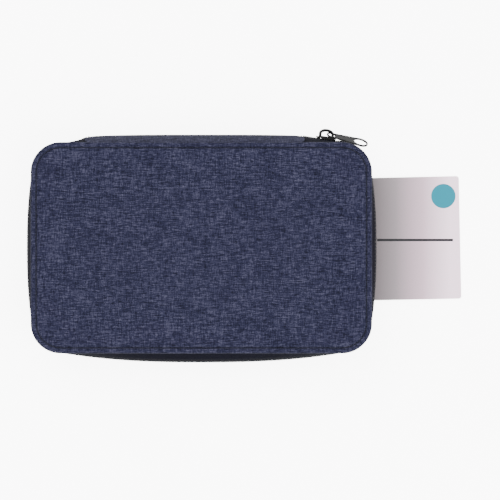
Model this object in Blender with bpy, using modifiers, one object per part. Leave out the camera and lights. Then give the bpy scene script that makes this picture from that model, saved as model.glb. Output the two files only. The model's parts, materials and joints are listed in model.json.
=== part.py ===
"""Zip-around travel organizer, in metres.

Two padded fabric covers fold open on a soft spine and close with a coil zipper on three sides.
The case lies on its back: X runs along the spine, +Y is the spine side, +Z is the front cover.
The origin is the middle of the back face.
"""

import math

import bmesh
import bpy
from mathutils import Matrix, Vector

# Driving dimensions
COVER_LENGTH = 0.213
COVER_WIDTH = 0.132
CORNER_RADIUS = 0.019
CASE_THICKNESS = 0.030
FABRIC = 0.0006
FOAM = 0.0012
BOARD = 0.0006
LINING = 0.0005
CARD = 0.0004
GAP = 0.0003

# Heights of the layers, from the back face up
BACK_Z = FABRIC + GAP + CARD + GAP
COVER = FABRIC + GAP + FOAM + GAP + BOARD + GAP + LINING
MID_Z = BACK_Z + CASE_THICKNESS / 2
FLOOR_Z = BACK_Z + COVER
HALF_X = COVER_LENGTH / 2
HALF_Y = COVER_WIDTH / 2
ARC_X = HALF_X - CORNER_RADIUS
ARC_Y = HALF_Y - CORNER_RADIUS
BINDING_RADIUS = COVER / 2
PANEL_INSET = COVER + GAP

# Zipper wall and spine
SPINE_LEFT = -0.0714
SPINE_RIGHT = 0.0631
WALL_ROOT_Z = FLOOR_Z + 0.00065
WALL_ROOT_INSET = 0.0015
TAPE = 0.0007
COIL_RADIUS = 0.0011
COIL_OFFSET = 0.0016
TAPE_EDGE = 0.0030
SIDE_BULGE = 0.0020
BOTTOM_BULGE = 0.0048
SPINE_BULGE = 0.0039
LEAD_BULGE = 0.0033
LEAD_END_BULGE = -0.0006
CORNER_BULGE = -0.0011
BULGE_POWER = 2.5
SPINE_REACH = 0.098

# Slip pocket on the outside of the back
SLIP_EDGE = 0.001
SLIP_SEAM = 0.0025
SLIP_MOUTH = 0.006

# Main slider, at the closed end of the zipper
SLIDER_X = 0.0776
SLIDER_HALF = 0.0063
SLIDER_HALF_WIDTH = 0.0042
SLIDER_TRAVEL = 0.0030
NOTCH_CLEARANCE = 0.0014
LEAD_SLOPE = (LEAD_END_BULGE - LEAD_BULGE) / (ARC_X - SPINE_RIGHT)
NOTCH_DEPTH = 0.02
TAB_LENGTH = 0.027
TAB_TWIST = math.radians(35)
TAB_DROOP = math.radians(9)
TAB_REST = math.radians(-4.5)

# Sizes of a slider, its crown and its tab in millimetres at full size
PLATE_OUTLINE = [(-6.3, 2.0), (-5.2, 3.5), (-3.4, 4.2), (0.0, 4.1), (6.3, 3.75)]
PLATE_THICKNESS = 0.75
PLATE_LIFT = 1.825
NECK_CENTRE = (-4.5, 0.0, 0.0)
NECK_SIZE = (2.0, 3.4, 0.4)
FLANGE_CENTRE = (1.6, 1.25, 3.4)
FLANGE_SIZE = (9.2, 0.9, 0.7)
PIVOT_HEIGHT = 4.4
CROWN_FOOT = 3.9
CROWN_RISE = 2.3
CROWN_RADIUS = 0.7
CROWN_STEPS = 12
CROWN_SINK = 0.3
EYE_CENTRE = 3.3
EYE_OUTLINE = (3.1, 2.5)
EYE_HOLE = (2.5, 2.0)
END_OUTLINE = (4.9, 3.9)
END_HOLE = (4.2, 3.1)
TAB_THICKNESS = 0.9

# Inside of the back cover
POCKET_HALF_X = 0.100
DOCUMENT_TOP = 0.012
POCKET_BOTTOM = -0.0595
LOOP_WIDTH = 0.022
LOOP_SPAN = 0.011
LOOP_RISE = 0.0096
LOOP_FLAT = 0.0025
LOOP_COUNT = 3
LOOP_STEPS = 10
LOOP_BAND = 0.0008
LOOP_START = 0.0165
LOOP_X = 0.050
DOCUMENT_RADIUS = 0.006
SLOT_COUNT = 3
SLOT_TOP = 0.004
SLOT_STEP = 0.014
SLOT_INNER, SLOT_OUTER = 0.006, 0.097
SLOT_SEAM = 0.0025
SLOT_RADIUS = 0.002
NOTE_TOP = -0.010

# Zipped mesh pocket inside the front cover
POCKET_Z = 2 * MID_Z - FLOOR_Z - 0.0031
POCKET_ZIP_Y = 0.0380
POCKET_HALF_Y = 0.0585
FRAME_WIDTH = 0.0055
POCKET_TAPE_WIDTH = 0.0055
POCKET_SLIDER_X = 0.085
POCKET_ZIP_SIZE = 0.72
POCKET_TAB_LENGTH = 0.0155
POCKET_ZIP_HALF = 0.0917
POCKET_TAPE_END = 0.002
FRAME_RADIUS = 0.014
RIM_WIDTH = 0.002
WINDOW_RADIUS = 0.0008

# Printed card in the slip pocket on the back
CARD_LEFT, CARD_RIGHT = 0.038, 0.163
CARD_BOTTOM, CARD_TOP = -0.0334, 0.0440
CARD_TURN = math.radians(1.2)
CARD_RADIUS = 0.0015

MATERIALS = {
    "navy_fabric": ((0.045, 0.050, 0.098), 0.9, 0.0),
    "navy_binding": ((0.047, 0.053, 0.100), 0.85, 0.0),
    "zipper_tape": ((0.018, 0.018, 0.032), 0.8, 0.0),
    "zipper_coil": ((0.010, 0.010, 0.012), 0.45, 0.0),
    "lining": ((0.030, 0.032, 0.045), 0.7, 0.0),
    "elastic": ((0.012, 0.012, 0.014), 0.85, 0.0),
    "mesh_net": ((0.014, 0.014, 0.017), 0.7, 0.0),
    "foam": ((0.50, 0.50, 0.50), 0.9, 0.0),
    "board_core": ((0.55, 0.52, 0.45), 0.9, 0.0),
    "black_metal": ((0.018, 0.019, 0.019), 0.35, 1.0),
    "card_stock": ((0.78, 0.76, 0.77), 0.5, 0.0),
}


def clear_scene():
    for obj in list(bpy.data.objects):
        bpy.data.objects.remove(obj, do_unlink=True)


def make_collection(name):
    collection = bpy.data.collections.new(name)
    bpy.context.scene.collection.children.link(collection)
    return collection


def make_materials():
    made = {}
    for name, (colour, roughness, metallic) in MATERIALS.items():
        material = bpy.data.materials.new(name)
        material.use_nodes = True
        shader = material.node_tree.nodes["Principled BSDF"]
        shader.inputs["Base Color"].default_value = (*colour, 1.0)
        shader.inputs["Roughness"].default_value = roughness
        shader.inputs["Metallic"].default_value = metallic
        made[name] = material
    return made


def add_object(name, data, material):
    obj = bpy.data.objects.new(name, data)
    PARTS.objects.link(obj)
    obj.data.materials.append(MADE[material])
    return obj


def rounded_box(low, high, radius, steps=8):
    """The points round a rectangle with round corners, anticlockwise."""
    points = []
    corners = (
        (high[0] - radius, high[1] - radius, 0),
        (low[0] + radius, high[1] - radius, 90),
        (low[0] + radius, low[1] + radius, 180),
        (high[0] - radius, low[1] + radius, 270),
    )
    for centre_x, centre_y, start in corners:
        for step in range(steps + 1):
            angle = math.radians(start + 90 * step / steps)
            points.append((centre_x + radius * math.cos(angle), centre_y + radius * math.sin(angle)))
    return points


def cover_outline(inset):
    """The covers' outline, drawn in by a distance."""
    x, y = HALF_X - inset, HALF_Y - inset
    return rounded_box((-x, -y), (x, y), CORNER_RADIUS - inset)


def add_flat(name, outlines, bottom, thickness, material):
    """A flat piece cut to an outline; further outlines are holes in it."""
    curve = bpy.data.curves.new(name, "CURVE")
    curve.dimensions = "2D"
    curve.fill_mode = "BOTH"
    curve.extrude = thickness / 2
    for points in outlines:
        spline = curve.splines.new("POLY")
        spline.points.add(len(points) - 1)
        for point, (x, y) in zip(spline.points, points):
            point.co = (x, y, 0, 1)
        spline.use_cyclic_u = True
    obj = add_object(name, curve, material)
    obj.location.z = bottom + thickness / 2
    return obj


def add_tube(name, points, radius, material, closed=False, sides=2):
    curve = bpy.data.curves.new(name, "CURVE")
    curve.dimensions = "3D"
    curve.bevel_depth = radius
    curve.bevel_resolution = sides
    curve.use_fill_caps = not closed
    spline = curve.splines.new("POLY")
    spline.points.add(len(points) - 1)
    for point, place in zip(spline.points, points):
        point.co = (*place, 1)
    spline.use_cyclic_u = closed
    return add_object(name, curve, material)


def add_block(name, centre, size, material, bevel=0.0):
    """A box, with its edges rounded if bevel is given."""
    mesh = bpy.data.meshes.new(name)
    shape = bmesh.new()
    bmesh.ops.create_cube(shape, size=1.0, matrix=Matrix.Diagonal((*size, 1.0)))
    shape.to_mesh(mesh)
    shape.free()
    obj = add_object(name, mesh, material)
    obj.location = centre
    if bevel:
        edge = obj.modifiers.new("round_edges", "BEVEL")
        edge.width = bevel
        edge.segments = 2
    return obj


def add_sheet(name, rows, thickness, material):
    """A sheet through rows of points, with thickness on both sides of it."""
    mesh = bpy.data.meshes.new(name)
    shape = bmesh.new()
    grid = [[shape.verts.new(point) for point in row] for row in rows]
    for lower, upper in zip(grid, grid[1:]):
        for i in range(len(lower) - 1):
            shape.faces.new((lower[i], lower[i + 1], upper[i + 1], upper[i]))
    shape.to_mesh(mesh)
    shape.free()
    mesh.shade_smooth()
    obj = add_object(name, mesh, material)
    shell = obj.modifiers.new("thickness", "SOLIDIFY")
    shell.thickness = thickness
    shell.offset = 0.0
    shell.use_even_offset = True
    return obj


def as_mesh(obj):
    """The same piece as a closed mesh, so that a Boolean can use it."""
    bpy.context.view_layer.update()
    graph = bpy.context.evaluated_depsgraph_get()
    mesh = bpy.data.meshes.new_from_object(obj.evaluated_get(graph))
    shape = bmesh.new()
    shape.from_mesh(mesh)
    bmesh.ops.remove_doubles(shape, verts=shape.verts, dist=1e-6)
    bmesh.ops.recalc_face_normals(shape, faces=shape.faces)
    shape.to_mesh(mesh)
    shape.free()
    name, place, material = obj.name, obj.matrix_world.copy(), obj.data.materials[0].name
    bpy.data.objects.remove(obj, do_unlink=True)
    made = bpy.data.objects.new(name, mesh)
    PARTS.objects.link(made)
    mesh.materials.clear()
    mesh.materials.append(MADE[material])
    made.name = name
    made.matrix_world = place
    return made


def combine(obj, other, operation):
    """Joins other to obj, or cuts it from obj. The other becomes a hidden helper."""
    PARTS.objects.unlink(other)
    CUTTERS.objects.link(other)
    other.hide_render = True
    other.display_type = "WIRE"
    step = obj.modifiers.new(operation.lower(), "BOOLEAN")
    step.operation = operation
    step.object = other
    return obj


def side_share(distance, reach, power):
    """How much of a side's bulge is left at a distance from the side's middle."""
    return max(0.0, 1.0 - (abs(distance) / reach) ** power)


def side_bulge(y):
    return CORNER_BULGE + (SIDE_BULGE - CORNER_BULGE) * side_share(y, ARC_Y, BULGE_POWER)


def bottom_bulge(x):
    return CORNER_BULGE + (BOTTOM_BULGE - CORNER_BULGE) * side_share(x, ARC_X, BULGE_POWER)


def spine_bulge(x):
    """The top side: a straight slope under the slider, the spine, and a quick fall to the left corner."""
    if x > SPINE_RIGHT:
        return LEAD_BULGE + LEAD_SLOPE * (x - SPINE_RIGHT)
    if x < SPINE_LEFT:
        share = (ARC_X + x) / (ARC_X + SPINE_LEFT)
        return CORNER_BULGE + (spine_bulge(SPINE_LEFT) - CORNER_BULGE) * share**2
    return SPINE_BULGE * side_share(x, SPINE_REACH, 4)


def straight(start, end, normal, bulge, spacing=0.012):
    """Stations along a straight side: place, outward direction and bulge."""
    start, end = Vector(start), Vector(end)
    count = max(1, round((end - start).length / spacing))
    stations = []
    for i in range(count + 1):
        place = start.lerp(end, i / count)
        stations.append((place, Vector(normal), bulge(place)))
    return stations


def corner(centre, first_angle, first_bulge, last_bulge, steps=9):
    """Stations round a corner, clockwise, between its ends."""
    stations = []
    for i in range(1, steps):
        share = i / steps
        angle = math.radians(first_angle - 90 * share)
        normal = Vector((math.cos(angle), math.sin(angle)))
        bulge = first_bulge * (1 - share) + last_bulge * share
        stations.append((Vector(centre) + CORNER_RADIUS * normal, normal, bulge))
    return stations


def zipper_stations():
    """Stations along the zipper, from the spine's right end clockwise to its left end."""
    side_end, bottom_end = side_bulge(ARC_Y), bottom_bulge(ARC_X)
    lead = straight((SPINE_RIGHT + GAP, HALF_Y), (ARC_X, HALF_Y), (0, 1), lambda p: spine_bulge(p.x), 0.006)
    right = straight((HALF_X, ARC_Y), (HALF_X, -ARC_Y), (1, 0), lambda p: side_bulge(p.y))
    bottom = straight((ARC_X, -HALF_Y), (-ARC_X, -HALF_Y), (0, -1), lambda p: bottom_bulge(p.x))
    left = straight((-HALF_X, -ARC_Y), (-HALF_X, ARC_Y), (-1, 0), lambda p: side_bulge(p.y))
    tail = straight((-ARC_X, HALF_Y), (SPINE_LEFT - GAP, HALF_Y), (0, 1), lambda p: spine_bulge(p.x))
    return (
        lead
        + corner((ARC_X, ARC_Y), 90, LEAD_END_BULGE, side_end)
        + right
        + corner((ARC_X, -ARC_Y), 0, side_end, bottom_end)
        + bottom
        + corner((-ARC_X, -ARC_Y), -90, bottom_end, side_end)
        + left
        + corner((-ARC_X, ARC_Y), -180, side_end, CORNER_BULGE)
        + tail
    )


def wall_point(station, height, inward=0.0):
    """A point of the back half of the wall. It leaves the cover sideways and is upright at the middle."""
    place, normal, bulge = station
    share = (height - WALL_ROOT_Z) / (MID_Z - WALL_ROOT_Z)
    offset = -WALL_ROOT_INSET + (bulge + WALL_ROOT_INSET) * (1 - (1 - share) ** 3)
    spot = place + normal * (offset - inward)
    return Vector((spot.x, spot.y, height))


def mirrored(point):
    """The same place on the front half."""
    return Vector((point.x, point.y, 2 * MID_Z - point.z))


def wall_rows(stations, top, levels, inward=0.0):
    rows = []
    for level in range(levels + 1):
        height = WALL_ROOT_Z + (top - WALL_ROOT_Z) * level / levels
        rows.append([wall_point(station, height, inward) for station in stations])
    return rows


def make_cover(side, place):
    """Fabric, foam, board, lining and rolled binding of one cover; place puts a layer at its height."""
    panel = [cover_outline(PANEL_INSET)]
    add_flat(f"{side}_cover_fabric", panel, place(BACK_Z, FABRIC), FABRIC, "navy_fabric")
    foam_z = BACK_Z + FABRIC + GAP
    board_z = foam_z + FOAM + GAP
    add_flat(f"{side}_cover_foam", panel, place(foam_z, FOAM), FOAM, "foam")
    add_flat(f"{side}_cover_board", panel, place(board_z, BOARD), BOARD, "board_core")
    add_flat(f"{side}_lining", panel, place(FLOOR_Z - LINING, LINING), LINING, "lining")
    centre = place(BACK_Z, COVER) + BINDING_RADIUS
    ring = [(x, y, centre) for x, y in cover_outline(BINDING_RADIUS)]
    add_tube(f"{side}_edge_binding", ring, BINDING_RADIUS, "navy_binding", closed=True)


def make_covers():
    make_cover("back", lambda bottom, thickness: bottom)
    make_cover("front", lambda bottom, thickness: 2 * MID_Z - bottom - thickness)


def make_slip_pocket():
    """Pocket on the outside of the back, closed on three sides and open towards +X."""
    edge_x, edge_y = HALF_X - SLIP_EDGE, HALF_Y - SLIP_EDGE
    outline = rounded_box((-edge_x, -edge_y), (edge_x, edge_y), CORNER_RADIUS)
    floor = [(min(x, HALF_X - SLIP_MOUTH), y) for x, y in outline]
    pocket = as_mesh(add_flat("back_slip_pocket", [floor], 0.0, FABRIC, "navy_fabric"))
    inner_low = (-edge_x + SLIP_SEAM, -edge_y + SLIP_SEAM)
    inner_high = (HALF_X + CORNER_RADIUS, edge_y - SLIP_SEAM)
    inner = rounded_box(inner_low, inner_high, CORNER_RADIUS - SLIP_SEAM)
    rim_height = BACK_Z - GAP - FABRIC / 2
    rim = as_mesh(add_flat("slip_pocket_rim", [floor], FABRIC / 2, rim_height, "navy_fabric"))
    hollow = as_mesh(add_flat("slip_pocket_hollow", [inner], 0.0, BACK_Z, "navy_fabric"))
    combine(rim, hollow, "DIFFERENCE")
    combine(pocket, rim, "UNION")


def make_card():
    """The card lies a little turned in its pocket."""
    half_x, half_y = (CARD_RIGHT - CARD_LEFT) / 2, (CARD_TOP - CARD_BOTTOM) / 2
    outline = rounded_box((-half_x, -half_y), (half_x, half_y), CARD_RADIUS, steps=3)
    card = add_flat("insert_card", [outline], FABRIC + GAP, CARD, "card_stock")
    card.location.x = CARD_LEFT + half_x
    card.location.y = CARD_BOTTOM + half_y
    card.rotation_euler.z = CARD_TURN


def make_zipper():
    """Both tapes and coils. The front tape has a notch where the slider stands."""
    stations = zipper_stations()
    back_rows = wall_rows(stations, MID_Z - TAPE_EDGE, 4)
    front_rows = [[mirrored(point) for point in row] for row in back_rows]
    add_sheet("zipper_tape_back", back_rows, TAPE, "zipper_tape")
    front = add_sheet("zipper_tape_front", front_rows, TAPE, "zipper_tape")
    notch_left = SLIDER_X - SLIDER_HALF - GAP
    notch_right = SLIDER_X + SLIDER_HALF + SLIDER_TRAVEL + GAP
    notch_top = SLIDER_HALF_WIDTH + NOTCH_CLEARANCE
    notch = add_block(
        "slider_notch",
        ((notch_left + notch_right) / 2, HALF_Y, MID_Z + notch_top / 2),
        (notch_right - notch_left, NOTCH_DEPTH, notch_top),
        "zipper_tape",
    )
    combine(front, notch, "DIFFERENCE")
    coil = [wall_point(station, MID_Z - COIL_OFFSET) for station in stations]
    add_tube("zipper_coil_back", coil, COIL_RADIUS, "zipper_coil")
    rest = [point for point in coil if not (point.y > ARC_Y and 0 < point.x < notch_right)]
    rest.insert(0, Vector((notch_right, HALF_Y + spine_bulge(notch_right), MID_Z - COIL_OFFSET)))
    add_tube("zipper_coil_front", [mirrored(point) for point in rest], COIL_RADIUS, "zipper_coil")


def make_spine():
    """Outer fabric, stiffener and lining of the spine, one inside another."""
    stations = straight((SPINE_LEFT, HALF_Y), (SPINE_RIGHT, HALF_Y), (0, 1), lambda p: spine_bulge(p.x))
    layers = (
        ("spine_fabric", 0.0, FABRIC, "navy_fabric"),
        ("spine_stiffener", FABRIC + 0.0005, 0.0007, "board_core"),
        ("spine_lining", 2 * FABRIC + 0.0010, LINING, "lining"),
    )
    for name, inward, thickness, material in layers:
        lower = wall_rows(stations, MID_Z, 4, inward)
        upper = [[mirrored(point) for point in row] for row in reversed(lower[:-1])]
        add_sheet(name, lower + upper, thickness, material)


def make_pockets():
    """Document pocket with three stepped card slots and a note pocket on it."""
    z = FLOOR_Z + GAP
    step = LINING + GAP
    bottom = POCKET_BOTTOM + SLOT_SEAM
    low, high = (-POCKET_HALF_X, POCKET_BOTTOM), (POCKET_HALF_X, DOCUMENT_TOP)
    add_flat("document_pocket", [rounded_box(low, high, DOCUMENT_RADIUS, 4)], z, LINING, "lining")
    for i in range(SLOT_COUNT):
        top = SLOT_TOP - SLOT_STEP * i
        slot = rounded_box((-SLOT_OUTER, bottom), (-SLOT_INNER, top), SLOT_RADIUS, 2)
        add_flat(f"card_slot_{i + 1}", [slot], z + step * (i + 1), LINING, "lining")
    note = rounded_box((SLOT_INNER, bottom), (SLOT_OUTER, NOTE_TOP), SLOT_RADIUS, 2)
    add_flat("note_pocket", [note], z + step, LINING, "lining")


def loop_profile(start):
    """One loop's path across its pen: flat where it is sewn down, arched over the pen."""
    z = FLOOR_Z + GAP + LOOP_BAND / 2
    foot = LOOP_FLAT / 2 - GAP / 2
    path = [(start, z)]
    for step in range(LOOP_STEPS + 1):
        angle = math.pi * step / LOOP_STEPS
        path.append((start + foot + LOOP_SPAN / 2 * (1 - math.cos(angle)), z + LOOP_RISE * math.sin(angle)))
    path.append((start + 2 * foot + LOOP_SPAN, z))
    return path


def make_pen_loops():
    """Three pens lie along X, each held by a loop at both ends."""
    pitch = LOOP_FLAT + LOOP_SPAN
    for side, x in (("left", -LOOP_X), ("right", LOOP_X)):
        for i in range(LOOP_COUNT):
            path = loop_profile(LOOP_START + pitch * i)
            rows = [[Vector((x + edge * LOOP_WIDTH / 2, y, z)) for y, z in path] for edge in (1, -1)]
            add_sheet(f"pen_loop_{side}_{i + 1}", rows, LOOP_BAND, "elastic")


def make_mesh_pocket():
    """Net, fabric frame and zipper tapes of the pocket inside the front cover."""
    tape_low = POCKET_ZIP_Y - TAPE_EDGE * POCKET_ZIP_SIZE
    tape_high = POCKET_ZIP_Y + TAPE_EDGE * POCKET_ZIP_SIZE
    net_top = tape_low - POCKET_TAPE_WIDTH - GAP
    window_x = POCKET_HALF_X - FRAME_WIDTH
    window_low = -POCKET_HALF_Y + FRAME_WIDTH
    window_high = tape_high + POCKET_TAPE_WIDTH + GAP
    edge = rounded_box((-POCKET_HALF_X, -POCKET_HALF_Y), (POCKET_HALF_X, POCKET_HALF_Y), FRAME_RADIUS, 6)
    window = rounded_box((-window_x, window_low), (window_x, window_high), WINDOW_RADIUS, 2)
    rim_x, rim_y = POCKET_HALF_X - RIM_WIDTH, POCKET_HALF_Y - RIM_WIDTH
    rim_inner = rounded_box((-rim_x, -rim_y), (rim_x, rim_y), FRAME_RADIUS - RIM_WIDTH, 6)
    rise = 2 * MID_Z - FLOOR_Z - GAP - POCKET_Z
    frame = as_mesh(add_flat("pocket_frame", [edge, window], POCKET_Z, FABRIC, "lining"))
    rim_z, rim_height = POCKET_Z + FABRIC / 2, rise - FABRIC / 2
    rim = as_mesh(add_flat("pocket_rim", [edge, rim_inner], rim_z, rim_height, "lining"))
    combine(frame, rim, "UNION")
    net_edge = window_x - GAP
    net = rounded_box((-net_edge, window_low + GAP), (net_edge, net_top), WINDOW_RADIUS, 2)
    add_flat("pocket_mesh", [net], POCKET_Z, LINING, "mesh_net")
    ends = POCKET_ZIP_HALF + POCKET_TAPE_END
    low = rounded_box((-ends, net_top + GAP), (ends, tape_low), WINDOW_RADIUS, 2)
    high = rounded_box((-ends, tape_high), (ends, tape_high + POCKET_TAPE_WIDTH), WINDOW_RADIUS, 2)
    add_flat("pocket_tape_near", [low], POCKET_Z, LINING, "zipper_tape")
    add_flat("pocket_tape_far", [high], POCKET_Z, LINING, "zipper_tape")
    coil_z = POCKET_Z + LINING / 2
    for name, side in (("pocket_coil_near", -1), ("pocket_coil_far", 1)):
        y = POCKET_ZIP_Y + side * COIL_OFFSET * POCKET_ZIP_SIZE
        line = [(-POCKET_ZIP_HALF, y, coil_z), (POCKET_ZIP_HALF, y, coil_z)]
        add_tube(name, line, COIL_RADIUS * POCKET_ZIP_SIZE, "zipper_coil")


def in_metres(sizes, size):
    """Millimetres at full size, in metres for a slider of a size."""
    return [0.001 * size * value for value in sizes]


def slider_plate(name, side, size, place):
    """One plate of a slider in its own frame: X along the chain, Y away from the tape, Z across."""
    outline = [tuple(in_metres(point, size)) for point in PLATE_OUTLINE]
    outline += [(x, -z) for x, z in reversed(outline)]
    thickness, rise = in_metres((PLATE_THICKNESS, side * PLATE_LIFT), size)
    plate = add_flat(name, [list(reversed(outline))], 0, thickness, "black_metal")
    lift = Matrix.Translation((0, rise, 0))
    plate.matrix_world = place @ lift @ Matrix.Rotation(math.radians(90), 4, "X")
    return as_mesh(plate)


def make_slider_body(name, size, place):
    """Two plates, joined by the neck between the two rows and edged by flanges that guide the tapes."""
    body = slider_plate(name, 1, size, place)
    combine(body, slider_plate(f"{name}_inner_plate", -1, size, place), "UNION")
    x, y, z = FLANGE_CENTRE
    blocks = [("neck", NECK_CENTRE, NECK_SIZE)]
    for plate_side in (1, -1):
        for edge_side in (1, -1):
            centre = (x, plate_side * y, edge_side * z)
            blocks.append((f"flange_{plate_side}_{edge_side}", centre, FLANGE_SIZE))
    for part, centre, extent in blocks:
        block = add_block(f"{name}_{part}", (0, 0, 0), in_metres(extent, size), "black_metal")
        block.matrix_world = place @ Matrix.Translation(in_metres(centre, size))
        combine(body, block, "UNION")
    return body


def make_crown(name, size, place):
    """The arch on the slider that the pull tab hangs on."""
    foot_height = PLATE_LIFT + PLATE_THICKNESS / 2 + CROWN_SINK / size
    points = [(CROWN_FOOT, foot_height, 0)]
    for step in range(CROWN_STEPS + 1):
        angle = math.pi * step / CROWN_STEPS
        height = PIVOT_HEIGHT + CROWN_RISE * math.sin(angle)
        points.append((CROWN_FOOT * math.cos(angle), height, 0))
    points.append((-CROWN_FOOT, foot_height, 0))
    arch = [tuple(in_metres(point, size)) for point in points]
    crown = add_tube(name, arch, 0.001 * size * CROWN_RADIUS, "black_metal")
    crown.matrix_world = place
    return crown


def oval(centre, half_length, half_width, steps=16, first=0.0, last=360.0):
    """Points on an ellipse, anticlockwise; an arc of it leaves the rest out."""
    count = steps if last - first >= 360 else steps + 1
    points = []
    for step in range(count):
        angle = math.radians(first + (last - first) * step / steps)
        points.append((centre + half_length * math.cos(angle), half_width * math.sin(angle)))
    return points


def make_pull_tab(name, size, place, length, twist, droop, rest):
    """Pull tab: a small eye on the crown, a narrow neck and a wide end with an oval finger hole."""
    end = length * 1000 / size - END_OUTLINE[0]
    outline = oval(EYE_CENTRE, *EYE_OUTLINE, 8, 60, 300)
    outline += oval(end, *END_OUTLINE, 16, -115, 115)
    holes = [oval(EYE_CENTRE, *EYE_HOLE, 12), oval(end, *END_HOLE)]
    splines = [[tuple(in_metres(point, size)) for point in points] for points in [outline, *holes]]
    thickness, pivot_height, eye = in_metres((TAB_THICKNESS, PIVOT_HEIGHT, EYE_CENTRE), size)
    tab = add_flat(name, splines, -thickness / 2, thickness, "black_metal")
    pivot = Matrix.Translation((0, pivot_height, 0))
    to_eye = Matrix.Translation((eye, 0, 0))
    hang = Matrix.Rotation(droop, 4, "Y") @ Matrix.Rotation(twist, 4, "X")
    upright = Matrix.Rotation(math.radians(90), 4, "X")
    swing = Matrix.Rotation(rest, 4, "Z")
    tab.matrix_world = place @ pivot @ swing @ to_eye @ hang @ to_eye.inverted() @ upright
    return tab


def make_main_slider():
    slope = math.atan(LEAD_SLOPE)
    y = HALF_Y + spine_bulge(SLIDER_X)
    place = Matrix.Translation((SLIDER_X, y, MID_Z)) @ Matrix.Rotation(slope, 4, "Z")
    make_slider_body("slider_body", 1.0, place)
    make_crown("slider_crown", 1.0, place)
    make_pull_tab("pull_tab", 1.0, place, TAB_LENGTH, TAB_TWIST, TAB_DROOP, TAB_REST)


def make_pocket_slider():
    """The pocket's slider faces down into the case, with its tab along the closed rows."""
    turn = Matrix(((-1, 0, 0, 0), (0, 0, -1, 0), (0, -1, 0, 0), (0, 0, 0, 1)))
    place = Matrix.Translation((POCKET_SLIDER_X, POCKET_ZIP_Y, POCKET_Z + LINING / 2)) @ turn
    make_slider_body("pocket_slider_body", POCKET_ZIP_SIZE, place)
    make_crown("pocket_slider_crown", POCKET_ZIP_SIZE, place)
    make_pull_tab("pocket_pull_tab", POCKET_ZIP_SIZE, place, POCKET_TAB_LENGTH, 0.0, 0.0, 0.0)


clear_scene()
PARTS = make_collection("travel_organizer")
CUTTERS = make_collection("cutters")
MADE = make_materials()
make_covers()
make_slip_pocket()
make_card()
make_zipper()
make_spine()
make_pockets()
make_pen_loops()
make_mesh_pocket()
make_main_slider()
make_pocket_slider()
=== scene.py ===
"""Looks of the zip-around travel organizer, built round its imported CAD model.

X runs along the spine, +Y is the spine side and +Z is the front cover, as in the CAD model.
"""

import json
import logging
import math
from collections.abc import Callable, Iterable, Sequence
from dataclasses import dataclass, field
from enum import Enum

import bpy
import numpy as np
from mathutils import Matrix, Vector


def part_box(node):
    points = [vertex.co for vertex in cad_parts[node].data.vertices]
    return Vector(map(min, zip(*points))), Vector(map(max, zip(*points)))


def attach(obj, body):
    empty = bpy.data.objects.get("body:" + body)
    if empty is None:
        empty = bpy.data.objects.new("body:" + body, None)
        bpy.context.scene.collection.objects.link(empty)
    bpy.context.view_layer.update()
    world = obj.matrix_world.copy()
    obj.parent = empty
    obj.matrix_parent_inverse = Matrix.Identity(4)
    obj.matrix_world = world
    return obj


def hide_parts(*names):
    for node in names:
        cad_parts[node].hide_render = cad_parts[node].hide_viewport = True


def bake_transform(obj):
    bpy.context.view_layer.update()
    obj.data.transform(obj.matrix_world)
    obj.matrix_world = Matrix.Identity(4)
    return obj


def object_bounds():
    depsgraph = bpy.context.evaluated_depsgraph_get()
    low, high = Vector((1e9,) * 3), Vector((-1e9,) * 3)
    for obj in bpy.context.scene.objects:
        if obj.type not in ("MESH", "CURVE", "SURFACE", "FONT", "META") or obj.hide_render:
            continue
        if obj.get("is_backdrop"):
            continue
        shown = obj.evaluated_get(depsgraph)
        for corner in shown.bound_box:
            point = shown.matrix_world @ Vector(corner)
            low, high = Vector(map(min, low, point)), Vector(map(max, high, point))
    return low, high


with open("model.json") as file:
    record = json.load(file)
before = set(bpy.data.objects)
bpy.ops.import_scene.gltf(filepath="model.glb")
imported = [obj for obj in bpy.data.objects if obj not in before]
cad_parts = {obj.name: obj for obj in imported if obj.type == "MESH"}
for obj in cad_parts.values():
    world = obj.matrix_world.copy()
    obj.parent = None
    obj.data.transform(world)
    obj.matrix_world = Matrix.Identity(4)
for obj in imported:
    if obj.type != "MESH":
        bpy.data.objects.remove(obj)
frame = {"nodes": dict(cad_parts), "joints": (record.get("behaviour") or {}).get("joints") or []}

LOG = logging.getLogger("organizer")
MM = 0.001
UP = Vector((0.0, 0.0, 1.0))

Socket = bpy.types.NodeSocket
Piece = bpy.types.Object
Material = bpy.types.Material
Finishes = dict[str, Material]
Values = dict[str, object]
Colour = tuple[float, float, float]


class Side(Enum):
    """The two halves of the case, with the direction that each one faces."""

    BACK = -1
    FRONT = 1

    @property
    def label(self) -> str:
        """The word that this half's nodes start or end with."""
        return self.name.lower()

    @property
    def body(self) -> str:
        """The CAD body of this half."""
        return f"{self.label}_cover"


# ---------------------------------------------------------------- finishes


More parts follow.
